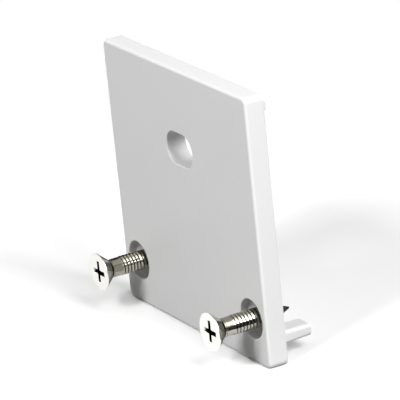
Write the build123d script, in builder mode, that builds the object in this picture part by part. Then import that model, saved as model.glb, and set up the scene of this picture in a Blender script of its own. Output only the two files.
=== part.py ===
from build123d import *
from math import radians, tan
import os

# End cap for a 40 mm square box profile, with its two screws half driven. Sizes are in millimetres.
# The origin is the centre of the seating face, on the profile's own axis. +X is to the right as seen
# from outside, +Y runs into the profile and +Z is up. The plate lies between y = -plate_thickness
# (outer face) and y = 0 (seating face).

os.makedirs("parts", exist_ok=True)

# Moulded plate
plate_width = 40.0
plate_height = 40.0
plate_thickness = 3.2
plate_corner_radius = 0.8
plate_edge_radius = 0.45

# Locating rib, just inside the profile's top wall
rib_thickness = 1.8
rib_depth = 2.45
rib_top_setback = 2.15
rib_side_setback = 3.85
rib_corner_radius = 0.45
rib_edge_radius = 0.4

# Locating lugs, just inside the profile's bottom and side walls, drafted towards their ends
lug_width = 3.7
lug_height = 2.1
lug_length = 5.6
lug_draft = 1.7
lug_bottom_setback = 1.9
lug_side_setback = 2.35
lug_corner_radius = 0.6
lug_edge_radius = 0.35

# Cable hole, a slot lying across the plate above its centre
cable_hole_width = 7.3
cable_hole_height = 4.9
cable_hole_top_setback = 12.15

# Countersunk self-tapping screw, 2.9 x 13
screw_length = 13.0
head_diameter = 5.6
head_rim = 0.17
head_angle = 82.0
neck_diameter = 2.55
neck_length = 0.2
shank_diameter = 2.75
shank_length = 1.7
thread_diameter = 2.9
point_length = 3.2
point_tip_diameter = 0.3

# Cross recess in the screw's head, for a number 1 driver
recess_span = 3.1
recess_wing = 0.6
recess_core_diameter = 1.5
recess_depth = 1.5
recess_wing_draft = 3.0
recess_point_draft = 26.5

# How the screws sit in the plate
screw_side_setback = 4.0
screw_bottom_setback = 6.6
screw_head_proud = 6.8
screw_hole_clearance = 0.15
head_seat_clearance = 0.15
screw_hole_land = 0.3
hole_edge_radius = 0.15

# Places that follow from the sizes
outer_face_y = -plate_thickness
plate_top = plate_height / 2
plate_bottom = -plate_height / 2
plate_side = plate_width / 2
rib_length = plate_width - 2 * rib_side_setback
rib_z = plate_top - rib_top_setback - rib_thickness / 2
lug_x = plate_side - lug_side_setback - lug_width / 2
lug_z = plate_bottom + lug_bottom_setback + lug_height / 2
lug_taper = 2 * lug_length * tan(radians(lug_draft))
cable_hole_z = plate_top - cable_hole_top_setback
screw_x = plate_side - screw_side_setback
screw_z = plate_bottom + screw_bottom_setback
screw_hole_radius = thread_diameter / 2 + screw_hole_clearance
head_seat_radius = head_diameter / 2 + head_seat_clearance
head_seat_length = (head_seat_radius - screw_hole_radius) / tan(radians(head_angle / 2))
head_well_depth = plate_thickness - screw_hole_land - head_seat_length
head_face_y = outer_face_y - screw_head_proud
point_y = head_face_y + screw_length

# The outer face looks out along -Y and the seating face along +Y. In both, the sketch's own Y is up.
outer_face = Plane(origin=(0, outer_face_y, 0), x_dir=(1, 0, 0), z_dir=(0, -1, 0))
seating_face = Plane(origin=(0, 0, 0), x_dir=(-1, 0, 0), z_dir=(0, 1, 0))

with BuildPart() as end_cap:
    # The plate, with rounded corners and a soft edge round both faces
    with BuildSketch(outer_face):
        RectangleRounded(plate_width, plate_height, plate_corner_radius)
    extrude(amount=-plate_thickness)
    fillet(end_cap.faces().sort_by(Axis.Y)[0].edges(), plate_edge_radius)
    fillet(end_cap.faces().sort_by(Axis.Y)[-1].edges(), plate_edge_radius)

    # Screw holes, each a round well with a conical seat at its foot, so that a driven head lies below the face
    with BuildSketch(outer_face):
        with Locations((-screw_x, screw_z), (screw_x, screw_z)):
            Circle(head_seat_radius)
    extrude(amount=-head_well_depth, mode=Mode.SUBTRACT)
    with Locations(outer_face.offset(-head_well_depth)):
        with Locations((-screw_x, screw_z), (screw_x, screw_z)):
            CounterSinkHole(
                radius=screw_hole_radius,
                counter_sink_radius=head_seat_radius,
                depth=plate_thickness - head_well_depth,
                counter_sink_angle=head_angle,
            )

    # Cable hole, right through the plate
    with BuildSketch(outer_face):
        with Locations((0, cable_hole_z)):
            SlotOverall(cable_hole_width, cable_hole_height)
    extrude(amount=-plate_thickness, mode=Mode.SUBTRACT)

    # Every hole's mouth is slightly rounded, on both faces
    fillet(end_cap.faces().sort_by(Axis.Y)[0].inner_wires().edges(), hole_edge_radius)
    fillet(end_cap.faces().sort_by(Axis.Y)[-1].inner_wires().edges(), hole_edge_radius)

    # Locating rib
    with BuildSketch(seating_face):
        with Locations((0, rib_z)):
            RectangleRounded(rib_length, rib_thickness, rib_corner_radius)
    extrude(amount=rib_depth)
    fillet(end_cap.faces().sort_by(Axis.Y)[-1].edges(), rib_edge_radius)

    # Locating lugs, each tapering from its root to its end
    for side in (-1, 1):
        with BuildSketch(seating_face):
            with Locations((side * lug_x, lug_z)):
                RectangleRounded(lug_width, lug_height, lug_corner_radius)
        with BuildSketch(seating_face.offset(lug_length)):
            with Locations((side * lug_x, lug_z)):
                RectangleRounded(lug_width - lug_taper, lug_height - lug_taper, lug_corner_radius)
        loft()
    fillet(end_cap.faces().sort_by(Axis.Y)[-2:].edges(), lug_edge_radius)

end_cap.part.label = "end_cap"
export_step(end_cap.part, "parts/end_cap.step")


def make_screw(name: str, side: int) -> BuildPart:
    """Make one screw, lying along Y with its head out in front of the outer face.

    Args:
        name: The piece's name.
        side: -1 for the hole on the left as seen from outside, 1 for the hole on the right.

    Returns:
        The finished screw.
    """
    axis_x = side * screw_x
    screw_axis = Axis((axis_x, 0, screw_z), (0, 1, 0))
    lengthwise = Plane(origin=(axis_x, 0, screw_z), x_dir=(1, 0, 0), z_dir=(0, 0, 1))
    head_face = Plane(origin=(axis_x, head_face_y, screw_z), x_dir=(1, 0, 0), z_dir=(0, -1, 0))
    cone_length = (head_diameter - neck_diameter) / 2 / tan(radians(head_angle / 2))
    neck_y = head_face_y + head_rim + cone_length
    shank_y = neck_y + neck_length
    thread_y = shank_y + shank_length
    taper_y = point_y - point_length

    # The recess: four wings round a core, narrowing to a blunt point
    with BuildPart() as recess:
        with BuildSketch(head_face):
            Rectangle(recess_span, recess_wing)
            Rectangle(recess_wing, recess_span)
            Circle(recess_core_diameter / 2)
        extrude(amount=-recess_depth, taper=recess_wing_draft)
        with BuildSketch(head_face):
            Circle(recess_span / 2)
        extrude(amount=-recess_depth, taper=recess_point_draft, mode=Mode.INTERSECT)

    # The screw: rim, countersunk cone, neck, shank, thread and point, turned about its axis
    with BuildPart() as screw:
        with BuildSketch(lengthwise):
            with BuildLine():
                Polyline(
                    (0, head_face_y),
                    (head_diameter / 2, head_face_y),
                    (head_diameter / 2, head_face_y + head_rim),
                    (neck_diameter / 2, neck_y),
                    (neck_diameter / 2, shank_y),
                    (shank_diameter / 2, shank_y),
                    (shank_diameter / 2, thread_y),
                    (thread_diameter / 2, thread_y),
                    (thread_diameter / 2, taper_y),
                    (point_tip_diameter / 2, point_y),
                    (0, point_y),
                    close=True,
                )
            make_face()
        revolve(axis=screw_axis)
        add(recess.part, mode=Mode.SUBTRACT)

    screw.part.label = name
    return screw


for screw_name, screw_side in (("left_screw", -1), ("right_screw", 1)):
    screw = make_screw(screw_name, screw_side)
    export_step(screw.part, f"parts/{screw_name}.step")
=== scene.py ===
"""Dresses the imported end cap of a 40 mm box profile: moulded plastic, plated screws and a lit studio.

All sizes below are in millimetres, in the part's own frame: the origin is the centre of the seating face,
+X is to the right as seen from outside, +Y runs into the profile and +Z is up. Meshes are made in metres.
"""

import logging
import math
from collections.abc import Iterable, Sequence
from dataclasses import dataclass
from enum import Enum
from typing import Any

import bmesh
import bpy
from bmesh.types import BMesh, BMEdge, BMVert
from mathutils import Matrix, Vector

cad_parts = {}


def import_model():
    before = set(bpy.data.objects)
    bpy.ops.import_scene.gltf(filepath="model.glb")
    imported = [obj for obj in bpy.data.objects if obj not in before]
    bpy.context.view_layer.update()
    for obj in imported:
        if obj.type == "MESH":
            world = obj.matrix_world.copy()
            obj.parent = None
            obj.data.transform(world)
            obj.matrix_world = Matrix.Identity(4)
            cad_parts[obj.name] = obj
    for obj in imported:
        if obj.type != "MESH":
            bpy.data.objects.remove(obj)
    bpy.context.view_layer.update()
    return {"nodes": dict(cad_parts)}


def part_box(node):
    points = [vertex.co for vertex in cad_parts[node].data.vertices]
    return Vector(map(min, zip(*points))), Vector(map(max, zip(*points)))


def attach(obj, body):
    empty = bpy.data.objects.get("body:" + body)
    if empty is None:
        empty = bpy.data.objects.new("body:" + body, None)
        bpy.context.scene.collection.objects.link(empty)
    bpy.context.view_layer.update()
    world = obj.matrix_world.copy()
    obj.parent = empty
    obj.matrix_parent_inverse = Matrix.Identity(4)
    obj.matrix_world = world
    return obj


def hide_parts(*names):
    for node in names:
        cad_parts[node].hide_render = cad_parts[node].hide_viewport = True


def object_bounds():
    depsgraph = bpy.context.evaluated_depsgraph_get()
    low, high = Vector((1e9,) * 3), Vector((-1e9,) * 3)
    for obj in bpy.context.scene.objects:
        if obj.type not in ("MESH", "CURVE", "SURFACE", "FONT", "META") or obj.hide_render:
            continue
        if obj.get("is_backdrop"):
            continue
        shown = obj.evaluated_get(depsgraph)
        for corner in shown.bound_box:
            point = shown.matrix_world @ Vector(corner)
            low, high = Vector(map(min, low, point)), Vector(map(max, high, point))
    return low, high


Sockets = dict[str, bpy.types.NodeSocket]

LOG = logging.getLogger("end_cap")
MM = 0.001
ROOT_BODY = "root"
CAP_NODE = "end_cap"
WHITE = (1.0, 1.0, 1.0, 1.0)

# The Mix node's sockets for colours, which share their names with those for numbers
COLOUR_A, COLOUR_B, COLOUR_OUT = 6, 7, 2

# Bmesh tolerances, in millimetres
TOUCHING = 1e-5
MERGING = 1e-4
LEVEL = 1e-6


class Hand(Enum):
    """Which screw hole, as seen from outside."""

    LEFT = "left_screw"
    RIGHT = "right_screw"


# ---------------------------------------------------------------------------------------------------------------
# Colours and nodes
# ---------------------------------------------------------------------------------------------------------------


def srgb(hex_colour: str) -> tuple[float, float, float, float]:
    """Turn an sRGB hex colour into the linear colour that shaders take.

    Args:
        hex_colour: Six hex digits with a leading #.

    Returns:
        Linear red, green, blue and an alpha of 1.
    """
    channels = (int(hex_colour[i : i + 2], 16) / 255 for i in (1, 3, 5))
    red, green, blue = (c / 12.92 if c <= 0.04045 else ((c + 0.055) / 1.055) ** 2.4 for c in channels)
    return red, green, blue, 1.0


def add_node(
    tree: bpy.types.NodeTree,
    kind: str,
    settings: dict[str, Any] | None = None,
    values: dict[Any, Any] | None = None,
    links: dict[Any, bpy.types.NodeSocket] | None = None,
) -> bpy.types.Node:
    """Add one node with its settings, unlinked values and incoming links.

    Args:
        tree: The tree that the node joins.
        kind: The node's type name, such as ShaderNodeTexNoise.
        settings: Properties of the node itself.
        values: Default values by input name or index.
        links: Sockets to link from, by input name or index.

    Returns:
        The new node.
    """
    node = tree.nodes.new(kind)
    for name, value in (settings or {}).items():
        setattr(node, name, value)
    for key, value in (values or {}).items():
        node.inputs[key].default_value = value
    for key, socket in (links or {}).items():
        tree.links.new(socket, node.inputs[key])
    return node


def new_material(name: str) -> tuple[bpy.types.Material, bpy.types.NodeTree, bpy.types.Node]:
    """Make an empty node material.

    Args:
        name: The material's name.

    Returns:
        The material, its tree and its output node.
    """
    material = bpy.data.materials.new(name)
    material.use_nodes = True
    tree = material.node_tree
    tree.nodes.clear()
    return material, tree, add_node(tree, "ShaderNodeOutputMaterial")


def seen_rays(tree: bpy.types.NodeTree) -> tuple[bpy.types.Node, bpy.types.NodeSocket]:
    """Tell the rays that show a thing, directly, in a mirror or through glass, from those that only light it.

    Args:
        tree: The tree that the nodes join.

    Returns:
        The Light Path node, and a value of 1 for the rays that show a thing and 0 for the others.
    """
    rays = add_node(tree, "ShaderNodeLightPath")
    seen = rays.outputs["Is Camera Ray"]
    for other in ("Is Glossy Ray", "Is Transmission Ray"):
        seen = add_node(
            tree,
            "ShaderNodeMath",
            settings={"operation": "MAXIMUM"},
            links={0: seen, 1: rays.outputs[other]},
        ).outputs["Value"]
    return rays, seen


def distance_off(
    tree: bpy.types.NodeTree, place: bpy.types.NodeSocket, across: tuple[float, float, float]
) -> bpy.types.NodeSocket:
    """Measure how far each point lies from an axis through the origin.

    Args:
        tree: The tree that the nodes join.
        place: The point, in metres.
        across: 1 for each coordinate that counts, and 0 for the one along the axis.

    Returns:
        The distance in metres.
    """
    flat = add_node(
        tree,
        "ShaderNodeVectorMath",
        settings={"operation": "MULTIPLY"},
        values={1: across},
        links={0: place},
    )
    length = add_node(
        tree,
        "ShaderNodeVectorMath",
        settings={"operation": "LENGTH"},
        links={0: flat.outputs["Vector"]},
    )
    return length.outputs["Value"]


# ---------------------------------------------------------------------------------------------------------------
# Finishes
# ---------------------------------------------------------------------------------------------------------------


@dataclass(frozen=True)
class MouldedAbs:
    """Light grey ABS from a spark-eroded mould.

    The eroded mould leaves it evenly matt, with no sharp highlight, and the melt leaves wide, faint flow
    marks.
    """

    colour: str = "#D1D1D1"
    flow_colour: str = "#CDCDCD"
    roughness_low: float = 0.48
    roughness_high: float = 0.58
    ior: float = 1.53
    grain: float = 0.30  # the mould's real grain is about 0.1 mm, and is drawn coarser so that it shows
    grain_height: float = 0.004
    grain_strength: float = 0.5
    flow: float = 9.0  # about three times the wall's thickness, as flow marks are

    def material(self) -> bpy.types.Material:
        """Build the material.

        Returns:
            The material.
        """
        material, tree, output = new_material("moulded_abs_light_grey")
        place = add_node(tree, "ShaderNodeTexCoord").outputs["Object"]
        grain = add_node(
            tree,
            "ShaderNodeTexNoise",
            values={"Scale": 1 / (self.grain * MM), "Detail": 2.0, "Roughness": 0.55},
            links={"Vector": place},
        )
        flow = add_node(
            tree,
            "ShaderNodeTexNoise",
            values={"Scale": 1 / (self.flow * MM), "Detail": 3.0, "Roughness": 0.5, "Distortion": 0.6},
            links={"Vector": place},
        )
        colour = add_node(
            tree,
            "ShaderNodeMix",
            settings={"data_type": "RGBA"},
            values={COLOUR_A: srgb(self.flow_colour), COLOUR_B: srgb(self.colour)},
            links={0: flow.outputs["Fac"]},
        )
        roughness = add_node(
            tree,
            "ShaderNodeMapRange",
            values={"To Min": self.roughness_low, "To Max": self.roughness_high},
            links={"Value": grain.outputs["Fac"]},
        )
        bump = add_node(
            tree,
            "ShaderNodeBump",
            values={"Strength": self.grain_strength, "Distance": self.grain_height * MM},
            links={"Height": grain.outputs["Fac"]},
        )
        shader = add_node(
            tree,
            "ShaderNodeBsdfPrincipled",
            values={"IOR": self.ior},
            links={
                "Base Color": colour.outputs[COLOUR_OUT],
                "Roughness": roughness.outputs["Result"],
                "Normal": bump.outputs["Normal"],
            },
        )
        tree.links.new(shader.outputs["BSDF"], output.inputs["Surface"])
        return material


@dataclass(frozen=True)
class NickelPlate:
    """Bright nickel on cold-headed and rolled steel.

    One bright nickel plating with an olive tint covers the whole screw, and its tones are painted light and
    shade: near white on the head's face, duller on the turned cone and greyer on the shank and thread. The
    thread's roots get painted shade, darker still, and the cross recess is painted near black as shade.
    """

    axis: tuple[float, float]
    head_face: float
    head_length: float
    thread_start: float
    recess_reach: float
    root_radius: float
    crest_radius: float
    # Painted light and shade: one plating, near white on the face, duller on the cone, greyer on the shank
    face_colour: str = "#E6E5E1"
    cone_colour: str = "#C6C4BC"
    shank_colour: str = "#A3A094"
    # Painted shade in the thread's roots
    root_painted_shade: str = "#34322D"
    # Painted shade inside the cross recess, near black
    recess_painted_shade: str = "#1E1D1B"
    root_share: float = 0.4
    roughness_low: float = 0.09
    roughness_high: float = 0.17
    ripple: float = 0.8  # about half the shank's radius, as the rolling dies leave it
    ripple_height: float = 0.0015
    ripple_strength: float = 0.3

    def shares(self, tree: bpy.types.NodeTree, place: bpy.types.NodeSocket) -> Sockets:
        """Tell the screw's regions apart by depth behind the head's face and by radius from the axis.

        Args:
            tree: The tree that the nodes join.
            place: The point, in metres.

        Returns:
            By name, how much a point belongs to each region, from 0 to 1.
        """
        from_axis = add_node(
            tree,
            "ShaderNodeVectorMath",
            settings={"operation": "SUBTRACT"},
            values={1: (self.axis[0] * MM, self.head_face * MM, self.axis[1] * MM)},
            links={0: place},
        ).outputs["Vector"]
        depth = add_node(tree, "ShaderNodeSeparateXYZ", links={0: from_axis}).outputs["Y"]
        radius = distance_off(tree, from_axis, across=(1.0, 0.0, 1.0))
        root_top = self.root_radius + self.root_share * (self.crest_radius - self.root_radius)
        # The flank and recess shares mask where painted shade goes: the thread's roots and the cross recess
        # Each region starts at the first size and is whole at the second, in millimetres
        steps = {
            "flank": (radius, self.root_radius, root_top),
            "cone": (depth, 0.04, 0.12),
            "shank": (depth, self.head_length - 0.3, self.head_length + 0.1),
            "thread": (depth, self.thread_start - 0.1, self.thread_start + 0.3),
            "sunk": (depth, 0.0, 0.4),
            "inside": (radius, self.recess_reach + 0.1, self.recess_reach),
        }
        shares = {
            name: add_node(
                tree,
                "ShaderNodeMapRange",
                settings={"interpolation_type": "SMOOTHSTEP"},
                values={"From Min": start * MM, "From Max": whole * MM},
                links={"Value": value},
            ).outputs["Result"]
            for name, (value, start, whole) in steps.items()
        }
        shares["recess"] = add_node(
            tree,
            "ShaderNodeMath",
            settings={"operation": "MULTIPLY"},
            links={0: shares["sunk"], 1: shares["inside"]},
        ).outputs["Value"]
        return shares

    def colour(self, tree: bpy.types.NodeTree, shares: Sockets) -> bpy.types.NodeSocket:
        """Lay the regions' tones over one another.

        Args:
            tree: The tree that the nodes join.
            shares: What shares() returned.

        Returns:
            The colour.
        """
        # Each tone is mixed from two others, by the share of the region that the second one belongs to
        mixes = {
            "threaded": ("flank", self.root_painted_shade, self.shank_colour),
            "stem": ("thread", self.shank_colour, "threaded"),
            "rim": ("cone", self.face_colour, self.cone_colour),
            "head": ("recess", "rim", self.recess_painted_shade),
            "screw": ("shank", "head", "stem"),
        }
        tones: Sockets = {}
        for name, (region, first, second) in mixes.items():
            ends = {COLOUR_A: first, COLOUR_B: second}
            tones[name] = add_node(
                tree,
                "ShaderNodeMix",
                settings={"data_type": "RGBA"},
                values={key: srgb(end) for key, end in ends.items() if end not in tones},
                links={0: shares[region]} | {key: tones[end] for key, end in ends.items() if end in tones},
            ).outputs[COLOUR_OUT]
        return tones["screw"]

    def material(self, name: str) -> bpy.types.Material:
        """Build the material for one screw.

        Args:
            name: The material's name.

        Returns:
            The material.
        """
        material, tree, output = new_material(name)
        place = add_node(tree, "ShaderNodeTexCoord").outputs["Object"]
        ripple = add_node(
            tree,
            "ShaderNodeTexNoise",
            values={"Scale": 1 / (self.ripple * MM), "Detail": 3.0},
            links={"Vector": place},
        )
        roughness = add_node(
            tree,
            "ShaderNodeMapRange",
            values={"To Min": self.roughness_low, "To Max": self.roughness_high},
            links={"Value": ripple.outputs["Fac"]},
        )
        bump = add_node(
            tree,
            "ShaderNodeBump",
            values={"Strength": self.ripple_strength, "Distance": self.ripple_height * MM},
            links={"Height": ripple.outputs["Fac"]},
        )
        shader = add_node(
            tree,
            "ShaderNodeBsdfPrincipled",
            values={"Metallic": 1.0},
            links={
                "Base Color": self.colour(tree, self.shares(tree, place)),
                "Roughness": roughness.outputs["Result"],
                "Normal": bump.outputs["Normal"],
            },
        )
        tree.links.new(shader.outputs["BSDF"], output.inputs["Surface"])
        return material


@dataclass(frozen=True)
class StudioPaper:
    """White studio paper: it takes the part's shadow close by, and runs out to plain white further off.

    It throws only a little light back up, and a camera under the floor looks through it, so that the part's
    underside can be seen.
    """

    colour: str = "#EAEAEA"
    bounce_colour: str = "#707070"
    clear_radius: float = 45.0
    white_radius: float = 150.0

    def material(self) -> bpy.types.Material:
        """Build the material.

        Returns:
            The material.
        """
        material, tree, output = new_material("studio_paper")
        rays, seen = seen_rays(tree)
        place = add_node(tree, "ShaderNodeTexCoord").outputs["Object"]
        far = add_node(
            tree,
            "ShaderNodeMapRange",
            settings={"interpolation_type": "SMOOTHSTEP"},
            values={"From Min": self.clear_radius * MM, "From Max": self.white_radius * MM},
            links={"Value": distance_off(tree, place, across=(1.0, 1.0, 0.0))},
        )
        whiten = add_node(
            tree,
            "ShaderNodeMath",
            settings={"operation": "MULTIPLY"},
            links={0: far.outputs["Result"], 1: seen},
        )
        colour = add_node(
            tree,
            "ShaderNodeMix",
            settings={"data_type": "RGBA"},
            values={COLOUR_A: srgb(self.bounce_colour), COLOUR_B: srgb(self.colour)},
            links={0: seen},
        )
        paper = add_node(tree, "ShaderNodeBsdfDiffuse", links={"Color": colour.outputs[COLOUR_OUT]})
        white = add_node(tree, "ShaderNodeEmission", values={"Color": WHITE, "Strength": 1.0})
        mixed = add_node(
            tree,
            "ShaderNodeMixShader",
            links={0: whiten.outputs["Value"], 1: paper.outputs["BSDF"], 2: white.outputs["Emission"]},
        )
        facing = add_node(tree, "ShaderNodeNewGeometry")
        underside = add_node(
            tree,
            "ShaderNodeMath",
            settings={"operation": "MULTIPLY"},
            links={0: facing.outputs["Backfacing"], 1: rays.outputs["Is Camera Ray"]},
        )
        clear = add_node(tree, "ShaderNodeBsdfTransparent")
        surface = add_node(
            tree,
            "ShaderNodeMixShader",
            links={0: underside.outputs["Value"], 1: mixed.outputs["Shader"], 2: clear.outputs["BSDF"]},
        )
        tree.links.new(surface.outputs["Shader"], output.inputs["Surface"])
        return material


# ---------------------------------------------------------------------------------------------------------------
# Meshes
# ---------------------------------------------------------------------------------------------------------------


def finish_mesh(name: str, mesh: BMesh, sharp_angle: float = 30.0) -> bpy.types.Object:
    """Turn a bmesh in millimetres into an object in metres, smooth but for its real edges.

    Args:
        name: The object's name.
        mesh: The bmesh, which is freed.
        sharp_angle: The angle in degrees past which an edge stays sharp.

    Returns:
        The object, at the origin and linked to the scene.
    """
    bmesh.ops.recalc_face_normals(mesh, faces=mesh.faces)
    bmesh.ops.scale(mesh, vec=(MM, MM, MM), verts=mesh.verts)
    data = bpy.data.meshes.new(name)
    mesh.to_mesh(data)
    mesh.free()
    data.shade_smooth()
    data.set_sharp_from_angle(angle=math.radians(sharp_angle))
    piece = bpy.data.objects.new(name, data)
    bpy.context.scene.collection.objects.link(piece)
    return piece


def add_outline(mesh: BMesh, points: Iterable[Sequence[float]]) -> tuple[list[BMVert], list[BMEdge]]:
    """Add an open line of points.

    Args:
        mesh: The bmesh to add to.
        points: The points in order.

    Returns:
        The new vertices and edges.
    """
    verts = [mesh.verts.new(point) for point in points]
    edges = [mesh.edges.new(pair) for pair in zip(verts, verts[1:])]
    return verts, edges


def round_edges(mesh: BMesh, edges: list[BMEdge], radius: float, segments: int) -> None:
    """Round some edges.

    Args:
        mesh: The bmesh that they belong to.
        edges: The edges.
        radius: How far the rounding reaches from each edge.
        segments: How many faces go round it.
    """
    bmesh.ops.bevel(
        mesh,
        geom=edges,
        offset=radius,
        offset_type="OFFSET",
        segments=segments,
        profile=0.5,
        affect="EDGES",
        material=-1,
        clamp_overlap=True,
    )


# ---------------------------------------------------------------------------------------------------------------
# Cap and screws
# ---------------------------------------------------------------------------------------------------------------


@dataclass(frozen=True)
class EndCap:
    """The moulding: plate, rib, lugs and holes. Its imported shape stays, and only gets its plastic."""

    node: str = CAP_NODE
    finish: MouldedAbs = MouldedAbs()

    def dress(self, nodes: dict[str, bpy.types.Object]) -> bpy.types.Object:
        """Give the moulding its plastic.

        Args:
            nodes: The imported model's nodes by name.

        Returns:
            The moulding's node.
        """
        cap = nodes[self.node]
        cap.data.materials.clear()
        cap.data.materials.append(self.finish.material())
        return cap


@dataclass
class CountersunkScrew:
    """A 2.9 x 13 countersunk self-tapping screw with a cross recess, lying along Y with its head at -Y."""

    hand: Hand
    axis_x: float
    axis_z: float
    head_face_y: float
    point_y: float
    facets: int = 72
    sharp_angle: float = 13.0

    # Head and neck
    head_radius: float = 2.8
    rim: float = 0.17
    rim_round: float = 0.06
    cone: float = 1.754
    neck_radius: float = 1.32
    neck: float = 0.2

    # Shank, thread and point
    shank_radius: float = 1.375
    shank: float = 1.2
    crest_radius: float = 1.45
    root_radius: float = 1.36
    pitch: float = 0.53
    crest_share: float = 0.12
    root_share: float = 0.14
    lead_share: float = 0.60
    runout: float = 0.4
    point: float = 3.2
    tip_radius: float = 0.14

    # Cross recess, which narrows with its depth by these angles
    recess_span: float = 3.35
    recess_wing: float = 0.70
    recess_core: float = 0.46
    recess_depth: float = 1.5
    recess_tip: float = 0.25
    recess_rings: int = 4
    recess_edge: float = 0.045
    span_taper: float = 26.5
    wing_taper: float = 3.0
    core_taper: float = 14.0
    flat_angle: float = 30.0  # an edge of the recess's mouth that turns less than this lies within the face

    @property
    def length(self) -> float:
        """From the head's face to the point."""
        return self.point_y - self.head_face_y

    @property
    def head_length(self) -> float:
        """From the head's face to the neck."""
        return self.rim + self.cone

    @property
    def shank_start(self) -> float:
        """From the head's face to the shank."""
        return self.head_length + self.neck

    @property
    def thread_start(self) -> float:
        """From the head's face to the thread."""
        return self.shank_start + self.shank

    def place(self, mesh: BMesh) -> None:
        """Turn a mesh built along Z, with the head's face at 0, onto the screw's axis in the part.

        Args:
            mesh: The bmesh to move.
        """
        lay = Matrix.Rotation(math.radians(-90), 4, "X")
        move = Matrix.Translation((self.axis_x, self.head_face_y, self.axis_z))
        bmesh.ops.transform(mesh, matrix=move @ lay, verts=mesh.verts)

    def recess_outline(self, depth: float) -> list[tuple[float, float]]:
        """The recess's cross-shaped outline at a depth.

        Args:
            depth: Depth below the head's face.

        Returns:
            Sixteen points round the cross, four for each quarter.
        """
        reach = self.recess_span / 2 - depth * math.tan(math.radians(self.span_taper))
        half = self.recess_wing / 2 - depth * math.tan(math.radians(self.wing_taper))
        core = self.recess_core - depth * math.tan(math.radians(self.core_taper))
        quarter = [(reach, -half), (reach, half), (core, half), (half, core)]
        points = []
        for turn in range(4):
            spin = Matrix.Rotation(math.radians(90 * turn), 2)
            points += [tuple(spin @ Vector(point)) for point in quarter]
        return points

    def turn_head(self, mesh: BMesh) -> list[BMEdge]:
        """Turn the head's rim and cone and the neck, and close the neck's end.

        Args:
            mesh: The bmesh to build in.

        Returns:
            The open edges round the head's face.
        """
        verts, edges = add_outline(
            mesh,
            [
                (self.head_radius, 0, 0),
                (self.head_radius, 0, self.rim),
                (self.neck_radius, 0, self.head_length),
                (self.neck_radius, 0, self.shank_start),
            ],
        )
        bmesh.ops.spin(
            mesh,
            geom=verts + edges,
            cent=(0, 0, 0),
            axis=(0, 0, 1),
            angle=math.tau,
            steps=self.facets,
            use_merge=True,
        )
        bmesh.ops.remove_doubles(mesh, verts=mesh.verts, dist=TOUCHING)
        face_edges = [e for e in mesh.edges if e.is_boundary and all(v.co.z < LEVEL for v in e.verts)]
        neck_edges = [e for e in mesh.edges if e.is_boundary and e not in face_edges]
        bmesh.ops.contextual_create(mesh, geom=neck_edges)
        return face_edges

    def sink_recess(self, mesh: BMesh, face_edges: list[BMEdge]) -> set[BMVert]:
        """Fill the head's face round the cross recess, and sink the recess into it.

        Args:
            mesh: The bmesh to build in.
            face_edges: The open edges round the head's face.

        Returns:
            The vertices round the recess's mouth.
        """
        mouth = [mesh.verts.new((x, y, 0)) for x, y in self.recess_outline(0.0)]
        mouth_edges = [mesh.edges.new(pair) for pair in zip(mouth, mouth[1:] + mouth[:1])]
        bmesh.ops.triangle_fill(
            mesh,
            use_beauty=True,
            use_dissolve=False,
            edges=face_edges + mouth_edges,
            normal=(0, 0, -1),
        )
        loop = mouth
        for ring in range(1, self.recess_rings + 1):
            depth = self.recess_depth * ring / self.recess_rings
            lower = [mesh.verts.new((x, y, depth)) for x, y in self.recess_outline(depth)]
            for i, j in enumerate([*range(1, len(loop)), 0]):
                mesh.faces.new((loop[i], loop[j], lower[j], lower[i]))
            loop = lower
        poked = bmesh.ops.poke(mesh, faces=[mesh.faces.new(loop)])
        bmesh.ops.translate(mesh, vec=(0, 0, self.recess_tip), verts=poked["verts"])
        return set(mouth)

    def build_head(self, mesh: BMesh) -> None:
        """Build the head with its recess and rounded edges, and the neck.

        Args:
            mesh: The bmesh to build in.
        """
        mouth = self.sink_recess(mesh, self.turn_head(mesh))
        bmesh.ops.recalc_face_normals(mesh, faces=mesh.faces)
        flat = math.radians(self.flat_angle)
        lips = [e for e in mesh.edges if mouth.issuperset(e.verts) and e.calc_face_angle(0) > flat]
        round_edges(mesh, lips, self.recess_edge, segments=2)
        rim_edges = [
            e
            for e in mesh.edges
            if all(abs(v.co.xy.length - self.head_radius) < MERGING for v in e.verts)
            and abs(e.verts[0].co.z - e.verts[1].co.z) < LEVEL
        ]
        round_edges(mesh, rim_edges, self.rim_round, segments=3)

    def thread_radius(self, radius: float, along: float) -> float:
        """The radius that a point of the endless thread takes on the shank, the thread or the point.

        Args:
            radius: The point's radius on the endless thread.
            along: Distance from the head's face.

        Returns:
            The radius on the screw.
        """
        if along > self.length - self.point:
            width = max((self.length - along) / self.point, 0.0)
            return self.tip_radius + (self.crest_radius - self.tip_radius) * width
        grown = min(max((along - self.thread_start) / self.runout, 0.0), 1.0)
        return self.shank_radius + (radius - self.shank_radius) * grown

    def build_thread(self, mesh: BMesh) -> None:
        """Build the shank, the right-hand thread and the point as one helical sweep.

        Args:
            mesh: The bmesh to build in.
        """
        climb = self.root_share / 2 + self.lead_share
        # One turn's outline: how far along the pitch, and the radius there
        shape = (
            (0.0, self.root_radius),
            (self.root_share / 2, self.root_radius),
            (climb, self.crest_radius),
            (climb + self.crest_share, self.crest_radius),
            (1 - self.root_share / 2, self.root_radius),
            (1.0, self.root_radius),
        )
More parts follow.
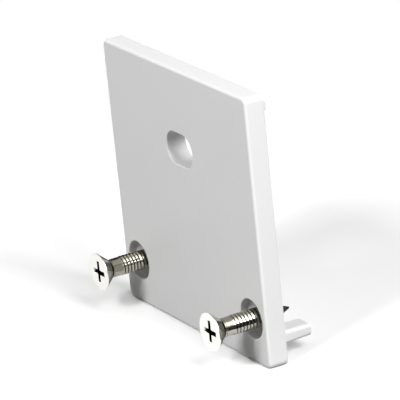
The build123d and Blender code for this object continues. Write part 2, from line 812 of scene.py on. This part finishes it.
        # A turn to spare at each end, for the cuts below to take off
        turns = math.ceil((self.length - self.shank_start) / self.pitch) + 2
        outline = [(radius, 0, self.shank_start + (share - 1) * self.pitch) for share, radius in shape]
        verts, edges = add_outline(mesh, outline)
        bmesh.ops.spin(
            mesh,
            geom=verts + edges,
            cent=(0, 0, 0),
            axis=(0, 0, 1),
            dvec=(0, 0, self.pitch / self.facets),
            angle=math.tau,
            steps=self.facets,
            use_merge=False,
        )
        one_turn = mesh.verts[:] + mesh.edges[:] + mesh.faces[:]
        for turn in range(1, turns):
            copied = bmesh.ops.duplicate(mesh, geom=one_turn)["geom"]
            moved = [part for part in copied if isinstance(part, BMVert)]
            bmesh.ops.translate(mesh, vec=(0, 0, turn * self.pitch), verts=moved)
        bmesh.ops.remove_doubles(mesh, verts=mesh.verts, dist=MERGING)
        for at, outwards in ((self.shank_start, -1), (self.length, 1)):
            cut = bmesh.ops.bisect_plane(
                mesh,
                geom=mesh.verts[:] + mesh.edges[:] + mesh.faces[:],
                dist=TOUCHING,
                plane_co=(0, 0, at),
                plane_no=(0, 0, outwards),
                clear_outer=True,
            )
            end_edges = [e for e in cut["geom_cut"] if isinstance(e, BMEdge)]
            bmesh.ops.contextual_create(mesh, geom=end_edges)
        for vert in mesh.verts:
            radius = vert.co.xy.length
            vert.co.xy *= self.thread_radius(radius, vert.co.z) / radius

    def build(self) -> bpy.types.Object:
        """Build and dress the screw, hang it on the root body and hide its CAD node.

        Returns:
            The finished screw, which stands for its CAD node.
        """
        whole = bmesh.new()
        self.build_thread(whole)
        head = bmesh.new()
        self.build_head(head)
        joined = bpy.data.meshes.new("head")
        head.to_mesh(joined)
        head.free()
        whole.from_mesh(joined)
        bpy.data.meshes.remove(joined)
        self.place(whole)
        screw = finish_mesh(self.hand.value + "_detail", whole, self.sharp_angle)
        finish = NickelPlate(
            axis=(self.axis_x, self.axis_z),
            head_face=self.head_face_y,
            head_length=self.head_length,
            thread_start=self.thread_start,
            recess_reach=self.recess_span / 2,
            root_radius=self.root_radius,
            crest_radius=self.crest_radius,
        )
        screw.data.materials.append(finish.material("bright_nickel_" + self.hand.name.lower()))
        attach(screw, ROOT_BODY)
        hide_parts(self.hand.value)
        return screw


def screw_from_frame(hand: Hand) -> CountersunkScrew:
    """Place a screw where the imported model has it.

    Args:
        hand: Which of the two screws.

    Returns:
        The screw, not yet built.
    """
    low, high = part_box(hand.value)
    centre = (low + high) / 2 / MM
    return CountersunkScrew(
        hand=hand,
        axis_x=centre.x,
        axis_z=centre.z,
        head_face_y=low.y / MM,
        point_y=high.y / MM,
    )


# ---------------------------------------------------------------------------------------------------------------
# Studio
# ---------------------------------------------------------------------------------------------------------------


def direction(azimuth: float, elevation: float) -> Vector:
    """The direction from the part to something seen from outside.

    Args:
        azimuth: Degrees round from straight in front of the outer face, positive to the right.
        elevation: Degrees above level.

    Returns:
        A unit vector.
    """
    around, above = math.radians(azimuth), math.radians(elevation)
    level = math.cos(above)
    return Vector((math.sin(around) * level, -math.cos(around) * level, math.sin(above)))


@dataclass(frozen=True)
class Lamp:
    """One soft box, aimed at the part's origin, with its angles in degrees and its power in watts."""

    name: str
    azimuth: float
    elevation: float
    width: float
    height: float
    power: float
    distance: float = 600.0

    def build(self) -> bpy.types.Object:
        """Hang the soft box.

        Returns:
            The lamp.
        """
        data = bpy.data.lights.new(self.name, "AREA")
        data.shape = "RECTANGLE"
        data.size = self.width * MM
        data.size_y = self.height * MM
        data.energy = self.power
        lamp = bpy.data.objects.new(self.name, data)
        bpy.context.scene.collection.objects.link(lamp)
        towards = direction(self.azimuth, self.elevation)
        lamp.location = towards * self.distance * MM
        lamp.rotation_euler = towards.to_track_quat("Z", "Y").to_euler()
        return lamp


class Tone(Enum):
    """How bright a card looks, where 1 is as white as the backdrop."""

    BLACK = 0.05
    GREY = 0.42
    WHITE = 3.0


@dataclass(frozen=True)
class Card:
    """A card that only reflections show.

    A dark one draws a dark line along bright metal, and a white one a light band. Facing is the azimuth and
    elevation, in degrees, that the card's face looks along.
    """

    name: str
    centre: tuple[float, float, float]
    facing: tuple[float, float]
    width: float
    height: float
    tone: Tone

    def build(self) -> bpy.types.Object:
        """Set the card up.

        Returns:
            The card.
        """
        mesh = bmesh.new()
        bmesh.ops.create_grid(mesh, x_segments=1, y_segments=1, size=0.5)
        bmesh.ops.scale(mesh, vec=(self.width, self.height, 1), verts=mesh.verts)
        turn = direction(*self.facing).to_track_quat("Z", "Y").to_matrix().to_4x4()
        place = Matrix.Translation(self.centre)
        bmesh.ops.transform(mesh, matrix=place @ turn, verts=mesh.verts)
        card = finish_mesh(self.name, mesh)
        material, tree, output = new_material(self.name)
        shine = add_node(tree, "ShaderNodeEmission", values={"Color": WHITE, "Strength": self.tone.value})
        tree.links.new(shine.outputs["Emission"], output.inputs["Surface"])
        card.data.materials.append(material)
        card.visible_camera = False
        card.visible_diffuse = False
        card.visible_shadow = False
        card.visible_transmission = False
        card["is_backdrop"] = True
        return card


@dataclass
class Studio:
    """Floor, lamps, cards, world and camera."""

    camera_azimuth: float = 61.43
    camera_elevation: float = 19.58
    camera_roll: float = -5.87
    camera_distance: float = 531.9
    camera_aim: tuple[float, float, float] = (0.69, -1.05, -0.16)
    camera_reach: tuple[float, float] = (10.0, 20000.0)
    lens: float = 335.6
    sensor: float = 36.0
    floor_size: float = 3000.0
    ambient: float = 0.02
    # Name, azimuth, elevation, width, height and power
    lamps: tuple[Lamp, ...] = (
        Lamp("key_high", 20.0, 41.0, 120.0, 110.0, 1.85),
        Lamp("key_low", 8.0, 28.5, 120.0, 90.0, 1.24),
        Lamp("right_softbox", 96.0, 37.5, 260.0, 430.0, 5.1),
        Lamp("top_softbox", 182.0, 66.0, 420.0, 300.0, 0.30),
        Lamp("left_softbox", -62.0, 22.0, 300.0, 300.0, 0.20),
        Lamp("left_edge_softbox", -95.0, 6.0, 200.0, 120.0, 1.2),
        Lamp("back_softbox", 195.0, 10.0, 400.0, 160.0, 1.5),
    )
    # Name, centre, facing, width, height and tone. The grey one dulls only the left screw's bright band
    cards: tuple[Card, ...] = (
        Card("white_card_right", (331.0, 298.0, 401.0), (-48.0, -42.0), 380.0, 440.0, Tone.WHITE),
        Card("white_card_high", (187.0, 16.0, 464.0), (-85.0, -68.0), 320.0, 260.0, Tone.WHITE),
        Card("black_card_right", (75.0, 6.0, -9.5), (-90.0, 0.0), 70.0, 20.0, Tone.BLACK),
        Card("black_card_floor", (50.5, 14.0, -19.6), (0.0, 90.0), 49.0, 54.0, Tone.BLACK),
        Card("black_card_left", (-220.0, 98.0, 97.0), (66.0, -22.0), 300.0, 270.0, Tone.BLACK),
        Card("black_card_behind", (-62.0, 32.0, -13.0), (48.0, 0.0), 36.0, 13.0, Tone.BLACK),
        Card("grey_card_middle", (-10.6, -6.4, -9.4), (-90.0, -39.0), 5.0, 2.5, Tone.GREY),
    )

    def build(self) -> None:
        """Build the whole studio."""
        self.build_floor()
        self.build_world()
        for fitting in (*self.lamps, *self.cards):
            fitting.build()
        self.build_camera()

    def build_floor(self) -> None:
        """Lay the floor under the part's lowest point."""
        low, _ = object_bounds()
        mesh = bmesh.new()
        bmesh.ops.create_grid(mesh, x_segments=1, y_segments=1, size=self.floor_size / 2)
        bmesh.ops.translate(mesh, vec=(0, 0, low[2] / MM), verts=mesh.verts)
        floor = finish_mesh("floor", mesh)
        floor.data.materials.append(StudioPaper().material())
        floor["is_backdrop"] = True

    def build_world(self) -> None:
        """Light evenly from all round, and show white to the camera and in reflections."""
        world = bpy.data.worlds.new("studio")
        bpy.context.scene.world = world
        world.use_nodes = True
        tree = world.node_tree
        tree.nodes.clear()
        _, seen = seen_rays(tree)
        strength = add_node(
            tree,
            "ShaderNodeMapRange",
            values={"To Min": self.ambient, "To Max": 1.0},
            links={"Value": seen},
        )
        sky = add_node(
            tree,
            "ShaderNodeBackground",
            values={"Color": WHITE},
            links={"Strength": strength.outputs["Result"]},
        )
        add_node(tree, "ShaderNodeOutputWorld", links={"Surface": sky.outputs["Background"]})

    def build_camera(self) -> None:
        """Set the camera up and make it the scene's."""
        data = bpy.data.cameras.new("camera")
        data.lens = self.lens
        data.sensor_width = self.sensor
        data.clip_start, data.clip_end = (reach * MM for reach in self.camera_reach)
        camera = bpy.data.objects.new("camera", data)
        bpy.context.scene.collection.objects.link(camera)
        back = direction(self.camera_azimuth, self.camera_elevation)
        turn = back.to_track_quat("Z", "Y").to_matrix().to_4x4()
        roll = Matrix.Rotation(math.radians(self.camera_roll), 4, "Z")
        place = Matrix.Translation(Vector(self.camera_aim) * MM + back * self.camera_distance * MM)
        camera.matrix_world = place @ turn @ roll
        bpy.context.scene.camera = camera


# ---------------------------------------------------------------------------------------------------------------
# The whole scene
# ---------------------------------------------------------------------------------------------------------------


def main() -> None:
    """Build the scene."""
    logging.basicConfig(level=logging.INFO, format="%(name)s: %(message)s")
    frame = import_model()
    cap = EndCap().dress(frame["nodes"])
    LOG.info("%s dressed", cap.name)
    for hand in Hand:
        screw = screw_from_frame(hand).build()
        LOG.info("%s built, %d faces", screw.name, len(screw.data.polygons))
    Studio().build()
    LOG.info("studio built")
    bpy.context.scene.view_settings.view_transform = "Standard"


if __name__ == "__main__":
    main()
